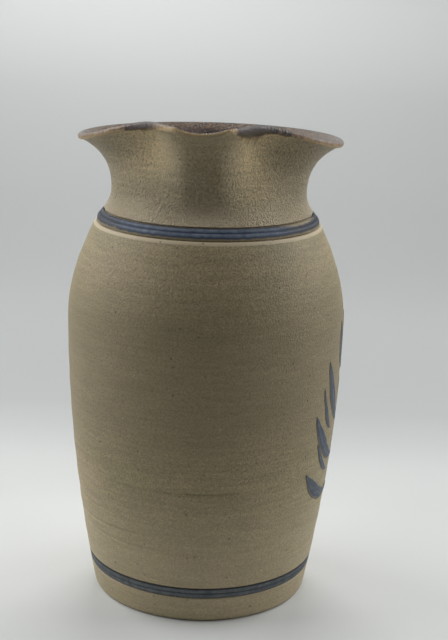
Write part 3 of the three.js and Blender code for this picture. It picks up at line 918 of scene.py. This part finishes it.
def add_lute(name, node, at_start):
    """Clay smoothed by finger from the wall on to the strap, all round one of its ends."""
    side = spread(0, 2 * math.pi, LUTE_SIDES + 1)[:-1]
    size = LUTE_ROUND * (1 + 0.12 * np.sin(3 * side + 1) + 0.06 * np.sin(7 * side))

    def skin(from_end, extra):
        distance = from_end if at_start else STRAP_LENGTH - from_end
        return strap_ring(distance, extra, side)

    def at_wall(extra):
        """How far from its end the strap, grown by extra, comes out of the wall."""
        buried, clear = np.full(LUTE_SIDES, -LUTE_SEARCH), np.full(LUTE_SIDES, LUTE_SEARCH)
        for _ in range(40):
            middle = (buried + clear) / 2
            spot = skin(middle, extra)
            outside = np.hypot(spot[:, 0], spot[:, 1]) > outside_radius(spot[:, 2])
            clear = np.where(outside, middle, clear)
            buried = np.where(outside, buried, middle)
        return buried

    foot = at_wall(size) - LUTE_FOOT_SUNK
    rings = [skin(foot, size)]
    for swing in spread(0, math.pi / 2, 16):
        extra = (size + LUTE_SUNK) * (1 - math.sin(swing)) - LUTE_SUNK
        rings.append(skin(at_wall(extra) + size * (1 - math.cos(swing)), extra))
    rings.append(skin(foot, np.full(LUTE_SIDES, -LUTE_SUNK)))
    points = np.array(rings)
    faces = grid_faces(len(rings), LUTE_SIDES, True, True)
    if at_start:
        faces = [face[::-1] for face in faces]
    add_piece(name, points.reshape(-1, 3), faces, handle_clay, node)


# The brushed sprig

SPRIG_FOOT = FOOT_LINES_HEIGHT + PAIR_WIDTH + SPRIG_ABOVE_FOOT
SPRIG_HEIGHT = BODY_HEIGHT - SPRIG_BELOW_SHOULDER - SPRIG_FOOT

# Strokes: path and breadth in shares of the sprig's height, and how late the stroke swells
MIDDLE_STROKES = {
    "stem": ([(0, 0), (0.01, 0.35), (0, 0.66)], 0.035, 1.0),
    "petal_middle": ([(0, 0.7), (0, 0.85), (0, 1)], 0.088, 1.0),
}
SIDE_STROKES = {
    "leaf_lower": ([(0.03, 0.08), (0.27, 0.02), (0.44, 0.24)], 0.083, 1.5),
    "leaf_middle": ([(0.03, 0.25), (0.25, 0.24), (0.4, 0.54)], 0.083, 1.5),
    "leaf_upper": ([(0.03, 0.43), (0.19, 0.47), (0.3, 0.8)], 0.083, 1.5),
    "tendril_lower": ([(0.17, 0.2), (0.26, 0.21), (0.36, 0.385)], 0.039, 1.0),
    "tendril_upper": ([(0.21, 0.43), (0.28, 0.47), (0.34, 0.67)], 0.039, 1.0),
    "petal": ([(0.03, 0.7), (0.09, 0.74), (0.13, 0.97)], 0.088, 1.5),
}


def add_stroke(name, line, breadth, swell, side):
    """One stroke of the brush on the wall, with the marks of its bristles. Side -1 mirrors it."""
    line = np.array(line) * (side, 1) * SPRIG_HEIGHT
    share = spread(0, 1, 60)
    centre = bend(line[0], line[1], line[2], share)
    along = np.gradient(centre, axis=0)
    along /= np.linalg.norm(along, axis=1)[:, None]
    offside = np.stack([-along[:, 1], along[:, 0]], axis=1)
    fullness = 0.12 + 0.88 * np.sin(math.pi * share ** swell)
    ends = np.sqrt(np.clip(np.minimum(share, 1 - share) * 25, 0, 1))
    seed = sum(ord(letter) for letter in name)
    wobble = 0.05 * np.sin(share * 17 + seed) + 0.04 * np.sin(share * 37 + 2 * seed)
    half = breadth * SPRIG_HEIGHT / 2 * fullness * ends * (1 + wobble) + 0.05
    sideways = spread(-1, 1, 17)
    crown = 1 - sideways ** 4
    bristles = (0.5 + 0.5 * np.sin(sideways * 9 + 2 * share[:, None] + seed)) * (1 - np.abs(sideways))
    top = np.clip(half[:, None] * 0.6, 0, STROKE_HEIGHT) * crown * (1 - 0.18 * bristles)
    face = centre[:, None] + offside[:, None] * (sideways[None, :, None] * half[:, None, None])
    back = face[:, ::-1][:, 1:-1]
    points = np.concatenate([face, back], axis=1)
    under = np.zeros((len(share), len(sideways) - 2))
    lift = np.concatenate([top + STROKE_EDGE, under - STROKE_SUNK], axis=1)
    angle = SPRIG_ANGLE + points[..., 0] / BELLY_RADIUS
    height = SPRIG_FOOT + points[..., 1]
    spots = on_pot(angle, wall_radius(height) + lift, height)
    ring = spots.shape[1]
    faces = grid_faces(len(share), ring, False, True)
    last = (len(share) - 1) * ring
    faces.append(tuple(reversed(range(ring))))
    faces.append(tuple(last + index for index in range(ring)))
    washed = (1 - sideways ** 2) * (1 - 0.7 * bristles)
    marks = {"middle": np.concatenate([washed, under], axis=1)}
    spots = spots.reshape(-1, 3)
    add_piece(f"brushed_{name}", spots, faces, sprig_slip, f"sprig_{name}", marks)


def add_sprig():
    for name, (line, breadth, swell) in MIDDLE_STROKES.items():
        add_stroke(name, line, breadth, swell, 1)
    for name, (line, breadth, swell) in SIDE_STROKES.items():
        add_stroke(f"{name}_left", line, breadth, swell, -1)
        add_stroke(f"{name}_right", line, breadth, swell, 1)


add_body()
add_collar()
add_glaze()
add_lines()
add_handle()
add_sprig()


# Floor, light and camera

# Painted light and shade: tones of the paper by the distance along it behind the pot's middle, in metres,
# standing in for the fall of light over the sweep
PAPER_LIGHT_TONES = [
    (-0.1, 205), (-0.02, 212), (0.1, 195), (0.2, 179), (0.3, 160),
    (0.6, 156), (0.95, 158), (1.16, 175), (1.3, 197),
]
FRONT_OPENING = -0.32, -0.1
OPENING_SHADE = srgb(140, 140, 140)
SWEEP_FRONT, SWEEP_BEND, SWEEP_BACK = -1.6, 0.7, 1.3
SWEEP_ROUND = SWEEP_BACK - SWEEP_BEND
SWEEP_HALF_WIDTH, SWEEP_TOP = 2.2, 2.2

# Lamps: name, place, target, width, height and watts
POT_MIDDLE = (0, 0.05, 0.12)
SIDE_LAMPS = [
    ("left_window", (-0.75, 0.15, 0.75), POT_MIDDLE, 1.0, 0.5, 7.2),
    ("right_window", (0.75, 0.3, 0.75), POT_MIDDLE, 1.0, 0.5, 6.6),
    ("left_panel", (-0.85, 0.18, 0.35), POT_MIDDLE, 1.0, 0.6, 1.9),
    ("right_panel", (0.85, 0.18, 0.35), POT_MIDDLE, 1.0, 0.6, 1.5),
]
BACK_WINDOW = "back_window", (0, 0.7, 0.9), (0, 0, 0.1), 0.6, 0.4, 5.0
BACKDROP_STRIP = "backdrop_strip", (-0.32, 1.1, 0.95), (-0.28, 1.3, 0.75), 0.5, 0.15, 5.0
TENT_STRENGTH = 0.18

# The camera, as fitted to the outline of the pot: lengths in metres, angles in degrees
CAMERA_DISTANCE, CAMERA_HEIGHT = 0.7114, 0.3279
CAMERA_OFF_SPOUT, CAMERA_DOWN, CAMERA_ASIDE, CAMERA_ROLL = 3.2, 14.373, 0.775, 1.664
FOCAL_OVER_PICTURE_HEIGHT = 1393.72 / 640
SENSOR_HEIGHT = 36.0


def add_sweep():
    """A pale paper floor that curves up into a backdrop, its tones along it painted light and shade. Its
    front gives back little light.
    """
    profile = np.concatenate([
        [[SWEEP_FRONT, 0.0], [-0.4, 0.0]],
        spread([-0.2, 0.0], [SWEEP_BEND, 0.0], 19),
        arc([SWEEP_BEND, SWEEP_ROUND], SWEEP_ROUND, -math.pi / 2, 0, 24)[1:],
        [[SWEEP_BACK, 2 * SWEEP_ROUND], [SWEEP_BACK, SWEEP_TOP]],
    ])
    walked = walked_along(profile) + SWEEP_FRONT
    across = spread(-SWEEP_HALF_WIDTH, SWEEP_HALF_WIDTH, 12)
    points = [(x, y, z) for y, z in profile for x in across]
    mesh = bpy.data.meshes.new("paper_sweep")
    faces = [face[::-1] for face in grid_faces(len(profile), len(across), False, False)]
    mesh.from_pydata(points, [], faces)
    mesh.polygons.foreach_set("use_smooth", [True] * len(mesh.polygons))
    layer = mesh.attributes.new("along", "FLOAT", "POINT")
    layer.data.foreach_set("value", np.repeat(walked, len(across)).astype(np.float32))
    sweep = bpy.data.objects.new("paper_sweep", mesh)
    scene.collection.objects.link(sweep)
    material, draw, shader, _ = new_material("pale_paper")
    along = draw.painted("along")
    first, last = PAPER_LIGHT_TONES[0][0], PAPER_LIGHT_TONES[-1][0]
    ramp = draw.add("ShaderNodeValToRGB")
    past_first = draw.math("SUBTRACT", along, first)
    draw.join(draw.math("DIVIDE", past_first, last - first), ramp.inputs[0])
    ramp.color_ramp.interpolation = "CARDINAL"
    stops = ramp.color_ramp.elements
    stops.remove(stops[-1])
    for index, (place_along, tone) in enumerate(PAPER_LIGHT_TONES):
        share = (place_along - first) / (last - first)
        stop = stops[0] if index == 0 else stops.new(share)
        stop.position = share
        stop.color = srgb(tone - 1, tone + 1, tone)
    ray = draw.add("ShaderNodeLightPath").outputs
    mirrored = draw.math("MAXIMUM", ray["Is Glossy Ray"], ray["Is Transmission Ray"])
    seen = draw.math("MAXIMUM", ray["Is Camera Ray"], mirrored)
    given_back = draw.math("MAXIMUM", seen, draw.between(along, *FRONT_OPENING))
    draw.join(draw.mix(given_back, OPENING_SHADE, ramp.outputs[0]), shader.inputs["Base Color"])
    shader.inputs["Roughness"].default_value = 0.9
    shader.inputs["Specular IOR Level"].default_value = 0.1
    mesh.materials.append(material)


def add_lamp(name, place, target, width, height, power):
    lamp = bpy.data.lights.new(name, "AREA")
    lamp.shape = "RECTANGLE"
    lamp.size = width
    lamp.size_y = height
    lamp.energy = power
    lamp_object = bpy.data.objects.new(name, lamp)
    lamp_object.visible_camera = False
    scene.collection.objects.link(lamp_object)
    away = np.array(place, float) - np.array(target, float)
    away /= np.linalg.norm(away)
    right = np.cross([0, 0, 1], away)
    right /= np.linalg.norm(right)
    up = np.cross(away, right)
    turn = np.eye(4)
    turn[:3, 0], turn[:3, 1], turn[:3, 2], turn[:3, 3] = right, up, away, place
    lamp_object.matrix_world = Matrix(turn.tolist())
    return lamp_object


def add_light():
    world = bpy.data.worlds.new("tent")
    scene.world = world
    world.use_nodes = True
    background = world.node_tree.nodes["Background"]
    background.inputs["Color"].default_value = (1.0, 1.0, 1.0, 1.0)
    background.inputs["Strength"].default_value = TENT_STRENGTH
    for lamp in SIDE_LAMPS:
        add_lamp(*lamp)
    back_window = add_lamp(*BACK_WINDOW)
    back_window.visible_glossy = False
    add_lamp(*BACKDROP_STRIP)


def add_camera():
    """Stands a little right of the spout, looks down and is rolled by a degree or two."""
    down, aside, roll = math.radians(CAMERA_DOWN), math.radians(CAMERA_ASIDE), math.radians(CAMERA_ROLL)
    off_spout = Matrix.Rotation(math.radians(CAMERA_OFF_SPOUT), 3, "Z")
    forward = np.array([
        math.sin(aside) * math.cos(down), math.cos(aside) * math.cos(down), -math.sin(down)
    ])
    right = np.array([math.cos(aside), -math.sin(aside), 0])
    up = np.cross(right, forward)
    across = math.cos(roll) * right + math.sin(roll) * up
    upright = -math.sin(roll) * right + math.cos(roll) * up
    turn = np.array(off_spout) @ np.stack([across, upright, -forward], axis=1)
    place = np.array(off_spout) @ np.array([0, -CAMERA_DISTANCE, CAMERA_HEIGHT])
    frame_matrix = np.eye(4)
    frame_matrix[:3, :3], frame_matrix[:3, 3] = turn, place
    camera = bpy.data.cameras.new("camera")
    camera.sensor_fit = "VERTICAL"
    camera.sensor_height = SENSOR_HEIGHT
    camera.lens = SENSOR_HEIGHT * FOCAL_OVER_PICTURE_HEIGHT
    camera_object = bpy.data.objects.new("camera", camera)
    scene.collection.objects.link(camera_object)
    camera_object.matrix_world = Matrix(frame_matrix.tolist())
    scene.camera = camera_object


add_sweep()
add_light()
add_camera()
scene.view_settings.view_transform = "Standard"
